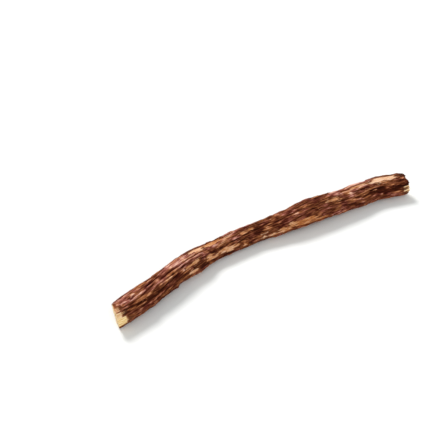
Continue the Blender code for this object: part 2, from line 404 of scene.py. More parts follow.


# %% [markdown]
# ## Where the bark has come off
# In the sack and in the hand the stick rubs against what lies beside it, and the bark splits off in strips
# along the grain. Each bare place is listed, with how pale its wood is. Its outline is torn: tongues
# of bark run into it along the fibres, and its edge stands up a little.

# %% Bare places
# (along, angle, half length in mm, half width in mm, paleness: 0 ochre, 1 cream, 1.3 fresh from the cut)
BARE = [
    # At the near cut
    (0, 102, 3.8, 3.2, 1.3), (0, 57, 2.3, 2.7, 1.21), (0, 14, 1.5, 2.2, 0.55),
    (0, 325, 1.6, 2.6, 0.5), (0, 250, 1.8, 3, 1.3), (0, 168, 1, 2.8, 1.3),
    # On top and on the side that faces the camera
    (18.8, 84, 1.2, 0.45, 0.2), (36.6, 54, 2.2, 0.75, 0.4), (38.2, 98, 2.9, 0.85, 0.7),
    (40.6, 52, 2.3, 1.3, 0.55), (45, -25, 4.4, 1.95, 0.85), (46.4, 0, 2.6, 0.9, 0.75),
    (49, 70, 2.4, 1.5, 0.5), (49, 93, 2.4, 0.45, 0.5), (50.2, -9, 1.9, 0.45, 0.3),
    (53, -22, 4.4, 1.8, 0.15), (53, 85, 2.2, 1.1, 0.5), (56.5, -8, 4.6, 0.7, 0.4),
    (57, 78, 5.6, 1.5, 0.6), (60, 93, 3.4, 1.15, 0.45), (62.5, -14, 1.3, 0.45, 0.9),
    (64, 84, 2.4, 0.9, 0.4), (67.2, 92, 2, 0.9, 0.1), (68.5, 112, 2.6, 0.6, 0.5),
    (68.6, 13, 2.2, 0.9, 0.5), (72.4, 5, 1.7, 0.7, 0.4), (77.2, 103, 1.6, 1.8, 1.05),
    (78.7, 71, 0.7, 0.4, 0.9), (82.3, 104, 1.9, 1.3, 0.5), (86.8, 99, 3.2, 1.7, 0.25),
    (90.6, 78, 2.4, 1.45, 0.4), (96.4, 90, 6.2, 1.9, 0.12), (105, 106, 4.6, 1.3, 0.1),
    (112, 24, 4.6, 1.1, 0.4), (120, -8, 2.6, 0.6, 0.2), (125.4, -12, 2.8, 0.8, 0.4),
    (130.4, -12, 2.2, 0.9, 0.6), (134, 27, 4, 0.3, 0.3), (137.8, 6, 1.5, 1.2, 0.9),
    (138.8, -16, 6.3, 1.9, 1.1), (141.4, -1, 2.8, 0.9, 1),
    # On the back
    (25, 236, 7.6, 1.7, 0.5), (63, 214, 5, 1.2, 0.3), (92, 262, 9, 1.8, 0.4),
    (119, 206, 6, 1.3, 0.2), (127, 300, 5.5, 1.1, 0.6),
    # At the far cut
    (148, 88, 1.7, 2.1, 1.22), (148, 285, 2, 2.6, 1.3),
]
BARE_SQUARE = 2.6
BARE_EDGE = 0.10
BARE_RAGGED, BARE_RAGGED_WIDTH, BARE_RAGGED_RUN = 0.42, 1.1, 4.0
BARE_TORN, BARE_TORN_WIDTH, BARE_TORN_RUN = 0.55, 0.42, 6.0
LIP_HEIGHT, LIP_PLACE, LIP_WIDTH = 0.14, 0.22, 0.20


def bare_places(along, angle):
    """How bare each place is, how pale the wood is there, and the lip of bark beside it in mm."""
    ragged = BARE_RAGGED * tube_noise(along, angle, BARE_RAGGED_WIDTH, BARE_RAGGED_RUN, SEED_BARE)
    ragged += BARE_TORN * tube_noise(along, angle, BARE_TORN_WIDTH, BARE_TORN_RUN, SEED_BARE)
    radius = smooth_through(GIRTH, along)
    bare, pale, lip = np.zeros_like(along), np.zeros_like(along), np.zeros_like(along)
    for place, turn, half_length, half_width, paleness in BARE:
        a = np.abs(along - place) / half_length
        w = np.abs(np.radians(angle_between(angle, turn))) * radius / half_width
        far = (a**BARE_SQUARE + w**BARE_SQUARE) ** (1 / BARE_SQUARE) + ragged * min(1.0, half_width)
        here = 1 - smooth_step(1 - BARE_EDGE, 1 + BARE_EDGE, far)
        pale = np.where(here > bare, paleness, pale)
        bare = np.maximum(bare, here)
        outside = (far - 1) * half_width
        lip = np.maximum(lip, np.exp(-(((outside - LIP_PLACE) / LIP_WIDTH) ** 2)))
    return bare, pale, LIP_HEIGHT * lip * (1 - bare)


# %% [markdown]
# ## Lumps
# Some unevenness belongs neither to the ridges nor to the girth: a torn nub on the lower side, the thick lip
# where the bark ends beside the worn strip, a hollow on the far side, and soft swellings. Each is one soft
# spot, added to the height, and the tones further down are soft spots too.

# %% Lumps
# (along, angle, half length, half width, height)
LUMPS = [
    (12, 318, 5, 2.2, 0.35), (29, 134, 1.3, 0.8, 0.9), (42.5, 322, 5.5, 3, -0.5),
    (43, 128, 2.8, 2.6, 0.25), (118, 40, 3.4, 2, 0.4), (126, 150, 4.5, 2.4, 0.45),
    (127, 322, 5, 3, 0.35), (139, 325, 7, 3.2, 0.45),
]


def soft_spots(spots, along, angle):
    """The sum of the spots at each place. The last number of a spot is what it adds in its middle."""
    total = np.zeros_like(along)
    radius = smooth_through(GIRTH, along)
    for place, turn, half_length, half_width, amount in spots:
        a = (along - place) / half_length
        w = np.radians(angle_between(angle, turn)) * radius / half_width
        total += amount * np.exp(-(a * a + w * w))
    return total


# %% [markdown]
# ## The two cuts
# Both ends are cut across, not quite square. The near one was cut clean with a blade. At the far one the
# last fibres broke, so it ends in ragged bundles.

# %% Cuts
NEAR_SHIFT, NEAR_LEAN_UP, NEAR_LEAN_SIDE = -1.2, -8.0, -21.0
FAR_SHIFT, FAR_LEAN_UP, FAR_LEAN_SIDE = 0.6, 2.0, 8.0
CUT_BLEND = 14.0
NEAR_RAGGED, FAR_RAGGED = 0.45, 1.3
RAGGED_TURNS, RAGGED_REACH = 2.6, 3
CAP_DOME = 0.25
BUNDLE_WIDTH, BUNDLE_REACH = 0.55, 2.5
NEAR_BUNDLE, FAR_BUNDLE = 0.10, 0.55


def cut_shift(along, angle, radius):
    """How far the leaning, torn cuts shift each point along the stick, in mm."""
    turn = np.radians(angle)
    up, side = radius * np.cos(turn), radius * np.sin(turn)
    near = np.maximum(0.0, 1 - along / CUT_BLEND)
    far = np.maximum(0.0, 1 - (LENGTH - along) / CUT_BLEND)
    lean = [math.tan(math.radians(v)) for v in (NEAR_LEAN_UP, NEAR_LEAN_SIDE, FAR_LEAN_UP, FAR_LEAN_SIDE)]
    leaning = near * (NEAR_SHIFT + up * lean[0] + side * lean[1])
    leaning += far * (FAR_SHIFT + up * lean[2] + side * lean[3])
    torn = read_noise(RAGGED_TURNS * np.cos(turn), RAGGED_TURNS * np.sin(turn), near - far)
    ragged = NEAR_RAGGED * near**RAGGED_REACH + FAR_RAGGED * far**RAGGED_REACH
    bundle = read_noise(up / BUNDLE_WIDTH, side / BUNDLE_WIDTH, np.full_like(up, SEED_FIBRE))
    last = NEAR_BUNDLE * np.maximum(0.0, 1 - along / BUNDLE_REACH)
    last += FAR_BUNDLE * np.maximum(0.0, 1 - (LENGTH - along) / BUNDLE_REACH)
    return leaning + ragged * torn * radius / smooth_through(GIRTH, along) + last * bundle


# %% [markdown]
# As the root dries it shrinks more round its rings than across them, so a cut face splits from the middle
# outwards. Each crack is a narrow groove along one ray, which fades at both ends.

# %% Drying cracks
# (angle, share of the radius where it starts, share where it ends, depth in mm)
CRACKS = [
    (38, 0.05, 0.72, 0.45), (163, 0.10, 0.55, 0.35), (226, 0.45, 0.88, 0.25), (282, 0.05, 0.66, 0.40),
]
CRACK_HALF_WIDTH, CRACK_FADE = 0.09, 0.12


def cracks(angle, share):
    """Depth of the drying cracks in the cut faces, in mm."""
    depth = np.zeros_like(angle)
    for turn, start, end, deep in CRACKS:
        off = np.radians(angle_between(angle, turn)) * share * GIRTH[0][1] / CRACK_HALF_WIDTH
        begun = smooth_step(start - CRACK_FADE, start, share)
        ended = smooth_step(end - CRACK_FADE, end, share)
        depth = np.maximum(depth, deep * np.exp(-(off**2)) * begun * (1 - ended))
    return depth


# %% [markdown]
# ## The blank
# A turner would start from a plain rod. So does this: one cylinder, as long as the stick, lying along X.
# Its ends are inset into rings, so that the cut faces have points to work on, and its long edges are
# subdivided, so that the side has a point every half millimetre along and every tenth of a millimetre
# round. A furrow runs along the root and is narrow, so it needs far more points across than along.

# %% The blank rod
SIDES = 288
RINGS = 320
BLANK_RADIUS = 5.0
CAP_INSETS = [0.08, 0.14, 0.20, 0.26, 0.40, 0.55, 0.75, 0.85, 0.85, 0.55]


def select_only(thing, kind, wanted):
    """Leaves only the wanted faces or edges selected, in edit mode."""
    bpy.ops.object.mode_set(mode="EDIT")
    bpy.ops.mesh.select_mode(type=kind)
    bpy.ops.mesh.select_all(action="DESELECT")
    bpy.ops.object.mode_set(mode="OBJECT")
    parts = thing.data.polygons if kind == "FACE" else thing.data.edges
    for part in parts:
        part.select = wanted(part)
    bpy.ops.object.mode_set(mode="EDIT")


def subdivide_lengthways(rod, length, cuts):
    """Cuts the edges that run the whole length of a rod along X."""
    points = rod.data.vertices

    def runs_along(edge):
        first, second = (points[i].co for i in edge.vertices)
        return abs(first.x - second.x) > length / 2

    select_only(rod, "EDGE", runs_along)
    bpy.ops.mesh.subdivide(number_cuts=cuts)
    bpy.ops.object.mode_set(mode="OBJECT")


def make_blank():
    bpy.ops.object.select_all(action="DESELECT")
    bpy.ops.mesh.primitive_cylinder_add(
        vertices=SIDES, radius=BLANK_RADIUS * MM, depth=LENGTH * MM, rotation=(0, math.pi / 2, 0)
    )
    blank = bpy.context.object
    bpy.ops.object.transform_apply(location=True, rotation=True, scale=True)
    select_only(blank, "FACE", lambda face: abs(face.normal.x) > 0.5)
    for step in CAP_INSETS:
        bpy.ops.mesh.inset(thickness=step * MM)
    bpy.ops.mesh.poke()
    bpy.ops.object.mode_set(mode="OBJECT")
    subdivide_lengthways(blank, LENGTH * MM, RINGS)
    return blank


stick = make_blank()
stick.name = "root_stick"
print("blank:", len(stick.data.vertices), "points,", len(stick.data.polygons), "faces")

# %% [markdown]
# ## Shaping the blank
# Each point of the rod is read back as its place along, its angle and its share of the radius, which is 1
# on the side and less on the cut faces. The functions above then say where that point lies on the root.

# %% Shape the rod into the root
def read_blank(thing):
    flat = np.empty(len(thing.data.vertices) * 3)
    thing.data.vertices.foreach_get("co", flat)
    x, y, z = flat.reshape(-1, 3).T / MM
    return x + LENGTH / 2, np.degrees(np.arctan2(-y, z)) % 360.0, np.hypot(y, z) / BLANK_RADIUS


def plain_radius(along, angle):
    turn, spin = np.radians(angle), np.radians(along)
    oval = OVAL * np.cos(2 * turn + OVAL_TURN * spin)
    return smooth_through(GIRTH, along) * (1 + oval + THREE_CORNERED * np.cos(3 * turn + THREE_TURN * spin))


WOOD_WIDTH, WOOD_RUN, WOOD_HEIGHT = 0.38, 7.0, 0.14
BARE_SMOOTH = 0.75
# What each kind of relief adds to "crest", which makes the bark lighter on the crests and darker in the
# furrows: painted shade in the furrows, and partly wear, partly painted highlight on the crests
CREST_RIDGE, CREST_FLAKE, CREST_WRINKLE, CREST_DRAWN = 0.12, 0.26, 0.62, 0.72


def root_relief(along, angle):
    """Height of the surface over the plain round of the root, in mm, with what its colours need."""
    grain = wandered(along, angle)
    ridge, swell = broad_ridges(along, grain)
    bare, pale, lip = bare_places(along, angle)
    drawn = drawn_lines(CRESTS + FURROWS, along, angle)
    flake, wrinkle = flakes(along, grain), wrinkles(along, grain)
    fine = fine_bark(along, grain, flake, wrinkle)
    wood = WOOD_HEIGHT * tube_noise(along, grain, WOOD_WIDTH, WOOD_RUN, SEED_FIBRE)
    calm = 1 - resting(along, angle)
    broad = (ridge + swell) * (1 - BARE_SMOOTH * bare) - BARK_THICK * bare
    broad += soft_spots(LUMPS, along, angle)
    detail = (drawn + fine + lip) * (1 - bare) + wood * bare
    # Where the stick rests, its ridges are pressed flat and nothing fine stands out
    height = calm * broad + np.where(calm < 1, np.minimum(detail, 0.0), detail)
    crest = CREST_RIDGE * (ridge / RIDGE_HEIGHT + RIDGE_MEAN) + CREST_FLAKE * flake
    crest += CREST_WRINKLE * wrinkle + CREST_DRAWN * drawn
    return height, {"bare": bare, "pale": pale, "crest": crest}


COURSE_STEP = 0.5


def root_middle(along, under):
    """Middle of the root in mm, its sideways direction towards -Y and its forward direction."""
    behind, ahead = smooth_through(BEND, along - COURSE_STEP), smooth_through(BEND, along + COURSE_STEP)
    rise = (ahead - behind) / (2 * COURSE_STEP)
    long = np.hypot(rise, 1.0)
    zero = np.zeros_like(along)
    side = np.stack([rise / long, -1 / long, zero], axis=1)
    forward = np.stack([1 / long, rise / long, zero], axis=1)
    rest = resting(along, zero + 180.0)
    height = under * rest + smooth_through(GIRTH, along) * (1 - rest)
    height += smooth_through(LIFT, along) - PRESSED
    middle = np.stack([NEAR_PLACE.x + along, NEAR_PLACE.y + smooth_through(BEND, along), height], axis=1)
    return middle, side, forward


def on_course(along, angle, radius, dome=0.0):
    """Points at a radius from the bent middle, and their places in the straightened root, both in mm."""
    middle, side, forward = root_middle(along, plain_radius(along, np.full_like(along, 180.0)))
    turn = np.radians(angle)
    ahead = cut_shift(along, angle, radius) + dome
    up = np.array([0.0, 0.0, 1.0])
    points = middle + side * (radius * np.sin(turn))[:, None] + up * (radius * np.cos(turn))[:, None]
    points += forward * ahead[:, None]
    # Nothing goes below the table
    points[:, 2] = np.maximum(points[:, 2], 0.0)
    return points, np.stack([radius * np.cos(turn), radius * np.sin(turn), along + ahead], axis=1)


def root_points(along, angle, share):
    """Points of the root in mm, at a share of its radius, and what their colours need."""
    relief, look = root_relief(along, angle)
    radius = share * (plain_radius(along, angle) + relief * share)
    dome = (CAP_DOME * (1 - share) - cracks(angle, share)) * np.where(along < LENGTH / 2, -1.0, 1.0)
    points, look["grain"] = on_course(along, angle, radius, dome)
    look["inside"] = (1 - share) * plain_radius(along, angle)
    return points, look


along, angle, share = read_blank(stick)
points, look = root_points(along, angle, share)
stick.data.vertices.foreach_set("co", (points * MM).ravel())
stick.data.update()
print("root, mm:", (points.max(axis=0) - points.min(axis=0)).round(1))

# %% [markdown]
# ## What the colours need
# The skin keeps what the shaping knew as attributes, one value for each point: how bare it is, how pale
# the wood, how high on a crest, how deep under the skin, how light or dark the bark is there with painted
# shade and highlights included, and its place in the straightened root, in millimetres, so that a grain
# drawn along the third axis follows every bend.
# The light and dark places that the photo shows are soft spots, given one by one.

# %% Light and dark places
# (along, angle, half length, half width, amount: lighter above 0, darker below)
# Some spots are painted light: the broad darker ones at 16 to 33 mm, angles 62 to 102, are painted shade on
# the side that faces the camera and the table, and the three at 75 to 78 mm, angles 6 to 45, are a painted
# shadow of a stick that lies across the root there
TONES = [
    (1.2, -30, 2.6, 2.4, 1.3), (3, 4, 3, 1.5, 1), (3, 42, 1.8, 0.6, -1.2), (5.5, -20, 3, 1.2, 0.9),
    (8, 10, 7, 2.4, 0.35), (8, 45, 6, 1.4, -0.7), (8, 102, 5, 1.8, 0.5), (10, -16, 4, 1.4, 0.5),
    (13, 82, 4, 0.4, 1), (16, 66, 4, 0.5, -1), (16, 98, 15, 3, -0.35), (19, 92, 2.4, 1.2, 0.2),
    (20, 5, 12, 2.4, -0.1), (20, 62, 16, 3.6, -0.25), (20, 72, 3, 0.5, 1), (25, 80, 4, 2, 0.4),
    (26, -6, 5, 2.4, 0.4), (26, 102, 11, 2.2, -0.6), (30, 76, 7, 1.8, -0.3), (32, 76, 5, 0.6, -1),
    (33, -12, 7, 2, 1.1), (33, 95, 3.5, 2, -0.5), (34, 44, 5, 2, 0.9), (36, 56, 4.5, 1.6, 0.7),
    (38, 14, 6, 1.2, 0.3), (39, 80, 1.5, 0.8, -1), (40, 2, 7, 2.6, 0.8), (44.6, 82, 2.4, 2.2, -1.5),
    (47, 26, 6, 1.3, 0.3), (55, 116, 9, 1, -1.3), (56, 5, 7, 1.2, 0.3), (56, 47, 6, 0.6, -1.6),
    (60, -2, 5, 1.6, 0.9), (61, 28, 13, 3.4, 0.75), (62.5, -12, 1.4, 0.6, 0.9), (64, 56, 4, 1, -0.5),
    (71.5, 96, 4, 2.6, -0.9), (75, 6, 5, 2.4, -1), (75, 36, 5, 2.2, -0.6), (78, 45, 9, 1.6, -0.4),
    (115, -2, 4.5, 2.6, 1.2), (121.8, 32, 1.9, 1.5, 2.2), (122, 2, 5, 1.6, 0.5),
    (126, -32, 6.5, 1.8, 1.9), (127, 18, 4.5, 0.6, -0.6), (128, -12, 6, 2.8, 1.9),
    (130, 14, 4.5, 0.7, -0.8), (133, 46, 5, 0.6, -1), (135, 52, 5.5, 1.5, -1.3),
    (140, 47, 1.6, 0.6, 1.2), (143, 55, 5, 2.6, -0.6), (143, 62, 4, 1.2, -1), (144, 32, 3, 1.6, 0.9),
    (147.2, 14, 1, 0.8, 1.6), (147.2, 48, 1.6, 2.4, -2), (147.3, -12, 1.6, 1.6, -2.2),
]
# Bright flecks on the crests, painted highlights on bark rubbed lighter there, in the same form
FLECKS = [
    (3.4, 9, 1.8, 0.5, 2), (7.4, 19, 2.4, 0.3, 2.2), (9.3, -1, 0.8, 0.5, 3.2), (10.5, -18, 0.9, 0.35, 1.6),
    (11.3, 15, 1.1, 0.4, 3.8), (13.6, 12, 1.2, 0.35, 1.3), (19.5, 23, 1.8, 0.5, 1),
    (20.6, 0, 0.8, 0.6, 1), (22.2, 38, 0.7, 0.5, 1), (26.4, 36, 0.6, 0.35, 1.4),
    (27, 72, 1.2, 0.5, 0.9), (27.6, -8, 1, 0.4, 1.6), (29.4, -8, 1, 0.7, 1.6),
    (29.6, 44, 0.9, 0.3, 1.2), (33.4, 47, 1, 0.3, 1.4), (37.3, 24, 1.2, 0.25, 2.2),
    (39.6, -15, 1.6, 0.5, 1.2), (42.6, 24, 0.9, 0.3, 1.6), (46.3, 61, 0.5, 0.4, 1.6),
    (50, 18, 0.7, 0.3, 1.6), (55.6, 25, 0.8, 0.4, 1.2), (57, 17, 0.6, 0.2, 1.4),
    (59, 8, 0.8, 0.3, 1.2), (63, -10, 0.9, 0.5, 1.8), (63, 28, 0.8, 0.4, 1.3),
    (68.3, 38, 0.7, 0.4, 1.2), (121.7, 18, 0.6, 0.5, 1.8), (128.4, 36, 1.4, 0.5, 1.6),
    (131, 25, 0.8, 0.3, 1.4), (139.2, 48, 0.7, 0.5, 1), (142.2, 42, 1, 0.35, 0.8),
]


def keep_attributes(thing, look):
    for name in ("bare", "pale", "crest", "tone", "inside"):
        thing.data.attributes.new(name, "FLOAT", "POINT").data.foreach_set("value", look[name])
    grain = thing.data.attributes.new("grain", "FLOAT_VECTOR", "POINT")
    grain.data.foreach_set("vector", look["grain"].ravel())


look["tone"] = soft_spots(TONES + FLECKS, along, angle)
keep_attributes(stick, look)
print("bare share of the skin:", round(float(look["bare"].mean()), 3))

# %% [markdown]
# ## Root bark, worn to the wood
# Dead cork on a dried root: reddish brown, rubbed to a pinkish tan on the crests, where a painted highlight
# lies on it too, and nearly black in the furrows, which is painted shade. Where the bark is gone the wood
# shows, yellow with fine long fibres. Both are one surface, so they are one material, and the "bare"
# attribute mixes them. Cork and wood both have an IOR near 1.5, but they are so porous and dusty that they
# hardly shine: the roughness goes from 0.6, rubbed, to 0.85, and the specular level is low.

# %% Bark material
bark, bark_shader = new_material("worn_root_bark")
grain = add_node(bark, "ShaderNodeAttribute", attribute_name="grain").outputs["Vector"]
bare, pale, crest, tone = (
    add_node(bark, "ShaderNodeAttribute", attribute_name=name).outputs["Fac"]
    for name in ("bare", "pale", "crest", "tone")
)

# Fibres are about 0.25 mm wide and some millimetres long: the grain is squeezed along the root
fibre_space = add_node(bark, "ShaderNodeMapping", {"Vector": grain, "Scale": (1.0, 1.0, 0.10)})
fibres = add_node(
    bark, "ShaderNodeTexNoise", {"Vector": fibre_space, "Scale": 3.2, "Detail": 4.0, "Roughness": 0.6}
)
blotches = add_node(
    bark, "ShaderNodeTexNoise", {"Vector": fibre_space, "Scale": 0.5, "Detail": 3.0, "Roughness": 0.55}
)
# Flecks are about 1 mm wide and 3 mm long, so they break up the long streaks
fleck_space = add_node(bark, "ShaderNodeMapping", {"Vector": grain, "Scale": (1.0, 1.0, 0.36)})
flecks = add_node(
    bark, "ShaderNodeTexNoise", {"Vector": fleck_space, "Scale": 0.8, "Detail": 3.0, "Roughness": 0.6}
)

# How light the bark is: each pattern adds its share to a dark base, and so do the places listed above
lightness = -0.70
# The crest share darkens the furrows, which is painted shade, and lightens the crests, partly wear and
# partly painted highlight; the tone share brings in the painted shade and highlights among the spots listed
# above
for pattern, weight in ((crest, 0.76), (flecks, 0.90), (fibres, 0.45), (blotches, 0.22), (tone, 0.18)):
    lightness = add_node(
        bark, "ShaderNodeMath", {0: pattern, 1: weight, 2: lightness}, operation="MULTIPLY_ADD"
    )
LIGHT_STEPS = (0.0, 0.20, 0.40, 0.58, 0.76, 0.90, 1.0)
BROWNS = ("#360E00", "#521F0A", "#7E4828", "#AC683E", "#D89A70", "#EAB590", "#F3C8A4")
PURPLES = ("#320800", "#50180A", "#783E2E", "#A05A4C", "#CC9280", "#E4AE98", "#F1C4AE")
brown, purple = (
    add_node(bark, "ShaderNodeValToRGB", {"Fac": lightness}, stops=zip(LIGHT_STEPS, colours))
    for colours in (BROWNS, PURPLES)
)

# Brown and purplish bark drift into each other, and the places made lighter lean to the purplish one
hue_space = add_node(bark, "ShaderNodeMapping", {"Vector": grain, "Scale": (0.45, 0.45, 0.16)})
hue = add_node(bark, "ShaderNodeTexNoise", {"Vector": hue_space, "Scale": 1.0, "Detail": 2.0})
hue = add_node(bark, "ShaderNodeMath", {0: tone, 1: 0.08, 2: hue}, operation="MULTIPLY_ADD")
purple_share = add_node(bark, "ShaderNodeMapRange", {"Value": hue, "From Min": 0.42, "From Max": 0.62})
bark_colour = add_node(
    bark, "ShaderNodeMix", {0: purple_share, 6: brown, 7: purple}, data_type="RGBA"
).outputs[2]

# Bare wood: ochre with fine dark fibres, and bleached where it was rubbed most
thread_space = add_node(bark, "ShaderNodeMapping", {"Vector": grain, "Scale": (1.0, 1.0, 0.07)})
threads = add_node(
    bark, "ShaderNodeTexNoise", {"Vector": thread_space, "Scale": 4.6, "Detail": 3.0, "Roughness": 0.65}
)
wood_tone = -0.575
for pattern, weight in ((pale, 0.36), (threads, 1.7), (blotches, 0.45)):
    wood_tone = add_node(
        bark, "ShaderNodeMath", {0: pattern, 1: weight, 2: wood_tone}, operation="MULTIPLY_ADD"
    )
old_wood = add_node(
    bark, "ShaderNodeValToRGB", {"Fac": wood_tone},
    stops=[(0.22, "#5C2406"), (0.40, "#A45A2A"), (0.58, "#C88550"), (0.80, "#E2AE86"), (1.0, "#F4D2B4")],
)
new_wood = add_node(
    bark, "ShaderNodeValToRGB", {"Fac": wood_tone},
    stops=[(0.40, "#A66A30"), (0.62, "#D6A25A"), (0.88, "#F0C884"), (1.0, "#FCE2AE")],
)
# Beside the cuts, where the paleness is near 1.3, the wood is fresh and still yellow
fresh = add_node(bark, "ShaderNodeMapRange", {"Value": pale, "From Min": 1.15, "From Max": 1.28})
wood_colour = add_node(
    bark, "ShaderNodeMix", {0: fresh, 6: old_wood, 7: new_wood}, data_type="RGBA"
).outputs[2]

# The two together, with a painted shade, darker than either, along the edge where the bark steps down to the
# wood
skin_colour = add_node(
    bark, "ShaderNodeMix", {0: bare, 6: bark_colour, 7: wood_colour}, data_type="RGBA"
).outputs[2]
painted_edge_shade = add_node(
    bark, "ShaderNodeValToRGB", {"Fac": bare},
    stops=[(0.0, "#FFFFFF"), (0.30, "#A08070"), (0.75, "#C8A890"), (1.0, "#FFFFFF")],
)
skin_colour = add_node(
    bark, "ShaderNodeMix", {0: 1.0, 6: skin_colour, 7: painted_edge_shade}, data_type="RGBA", blend_type="MULTIPLY"
).outputs[2]

# Rubbed crests are a little smoother than the dusty furrows, and the fibres are felt everywhere
rough = add_node(
    bark, "ShaderNodeMapRange",
    {"Value": lightness, "From Min": 0.2, "From Max": 0.9, "To Min": 0.85, "To Max": 0.6},
)
bark_bump = add_node(bark, "ShaderNodeBump", {"Strength": 0.6, "Distance": 0.00008, "Height": fibres})
set_inputs(bark, bark_shader, {"Base Color": skin_colour, "Roughness": rough, "Normal": bark_bump})
set_inputs(bark, bark_shader, {"IOR": 1.5, "Specular IOR Level": 0.1})

# %% [markdown]
# ## Cut wood
# The cut faces show the root end on: a thin dark rim of bark, a brown line where the living layer was,
# and yellow wood with pale rays that run out from the middle. "inside" is the depth under the skin in
# millimetres, which places the rings. The rays are noise that is read by direction from the middle alone,
# so it keeps its value all the way out.

# %% Cut wood material
cut_wood, cut_shader = new_material("cut_root_wood")
cut_grain = add_node(cut_wood, "ShaderNodeAttribute", attribute_name="grain").outputs["Vector"]
depth, barkless = (
    add_node(cut_wood, "ShaderNodeAttribute", attribute_name=name).outputs["Fac"]
    for name in ("inside", "bare")
)
axes = add_node(cut_wood, "ShaderNodeSeparateXYZ", {"Vector": cut_grain})
across = add_node(cut_wood, "ShaderNodeCombineXYZ", {"X": axes.outputs["X"], "Y": axes.outputs["Y"]})
outwards = add_node(cut_wood, "ShaderNodeVectorMath", {0: across}, operation="NORMALIZE")
rays = add_node(
    cut_wood, "ShaderNodeTexNoise", {"Vector": outwards, "Scale": 7.0, "Detail": 4.0, "Roughness": 0.6}
)
vessels = add_node(cut_wood, "ShaderNodeTexNoise", {"Vector": cut_grain, "Scale": 3.5, "Detail": 3.0})
wood_light = add_node(cut_wood, "ShaderNodeMath", {0: vessels, 1: 0.5, 2: rays}, operation="MULTIPLY_ADD")
ray_colour = add_node(
    cut_wood, "ShaderNodeValToRGB", {"Fac": wood_light},
    stops=[(0.45, "#B4844A"), (0.62, "#DAB278"), (0.80, "#F0D2A0"), (1.0, "#FBEACA")],
)
rim_colour = add_node(
    cut_wood, "ShaderNodeValToRGB", {"Fac": depth},
    stops=[(0.0, "#3A160C"), (0.42, "#6E3A22"), (0.62, "#B07A45")],
)
# The rim ends where the wood starts, and a place without bark has no rim
under_rim = add_node(cut_wood, "ShaderNodeMapRange", {"Value": depth, "From Min": 0.50, "From Max": 0.72})
wood_share = add_node(cut_wood, "ShaderNodeMath", {0: under_rim, 1: barkless}, operation="MAXIMUM")
cut_colour = add_node(
    cut_wood, "ShaderNodeMix", {0: wood_share, 6: rim_colour, 7: ray_colour}, data_type="RGBA"
).outputs[2]
cut_bump = add_node(cut_wood, "ShaderNodeBump", {"Strength": 0.6, "Distance": 0.00012, "Height": vessels})
set_inputs(cut_wood, cut_shader, {"Base Color": cut_colour, "Roughness": 0.8, "Normal": cut_bump})
set_inputs(cut_wood, cut_shader, {"IOR": 1.5})

stick.data.materials.append(bark)
stick.data.materials.append(cut_wood)

# %% [markdown]
# The cut wood goes only on the two ends. A face belongs to an end when one of its corners lies inside the
# rod, at less than the full radius.

# %% Which faces are cut
CUT_EDGE = 0.999
faces = stick.data.polygons
corners = np.empty(len(stick.data.loops), dtype=int)
stick.data.loops.foreach_get("vertex_index", corners)
starts = np.empty(len(faces), dtype=int)
faces.foreach_get("loop_start", starts)
inner = np.minimum.reduceat(share[corners], starts)
faces.foreach_set("material_index", (inner < CUT_EDGE).astype(int))

# %% Finishing a piece
# Edges that turn by more than this many degrees stay sharp
SKIN_SMOOTH, COPY_SMOOTH = 75, 40


def finish_piece(thing, smooth_angle):
    """Smooths a piece, tells the frame which body it rides on and hides the imported part it stands in for.
    """
    bpy.ops.object.select_all(action="DESELECT")
    thing.select_set(True)
    bpy.context.view_layer.objects.active = thing
    bpy.ops.object.shade_smooth_by_angle(angle=math.radians(smooth_angle))
    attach(thing, "root")
    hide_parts("stick")
    thing.data.calc_loop_triangles()
    print(thing.name, "triangles:", len(thing.data.loop_triangles))


finish_piece(stick, SKIN_SMOOTH)

# %% [markdown]
# ## Bark scales and torn fibres
# The dead skin lifts in small scales, and where a strip has come off, some of its fibres stay behind, fixed
# at one end. Both stand free of the surface and throw small shadows, which neither colour nor the skin's
# own relief can give. One scale and one fibre are modelled. Each is then copied, and each copy gets its own
# length, width and curl and is laid along the grain.

# %% One scale
SCALE_GRID = 6, 3
SCALE_TAPER, SCALE_POINT = 0.65, 2.2
SCALE_THICK = 0.12

bpy.ops.object.select_all(action="DESELECT")
bpy.ops.mesh.primitive_grid_add(x_subdivisions=SCALE_GRID[0], y_subdivisions=SCALE_GRID[1], size=1)
scale_blank = bpy.context.object
for point in scale_blank.data.vertices:
    point.co.y *= 1 - SCALE_TAPER * (2 * abs(point.co.x)) ** SCALE_POINT
bpy.ops.object.modifier_add(type="SOLIDIFY")
scale_blank.modifiers["Solidify"].thickness = SCALE_THICK
bpy.ops.object.modifier_apply(modifier="Solidify")

# %% One fibre
FIBRE_SIDES, FIBRE_CUTS = 5, 6
FIBRE_TAPER = 0.85

bpy.ops.object.select_all(action="DESELECT")
bpy.ops.mesh.primitive_cylinder_add(vertices=FIBRE_SIDES, radius=0.5, depth=1, rotation=(0, math.pi / 2, 0))
fibre_blank = bpy.context.object
bpy.ops.object.transform_apply(location=True, rotation=True, scale=True)
subdivide_lengthways(fibre_blank, 1, FIBRE_CUTS)
for point in fibre_blank.data.vertices:
    thin = 1 - FIBRE_TAPER * (point.co.x + 0.5) ** 2
    point.co.y *= thin
    point.co.z *= thin
print("scale and fibre:", len(scale_blank.data.polygons), len(fibre_blank.data.polygons), "faces")

# %% Laying copies on the root
WAVER, WAVER_TURNS = 0.08, 3
WIDTH_VARIES = 0.3
SCALE_SUNK, FIBRE_SUNK = 0.10, 0.0


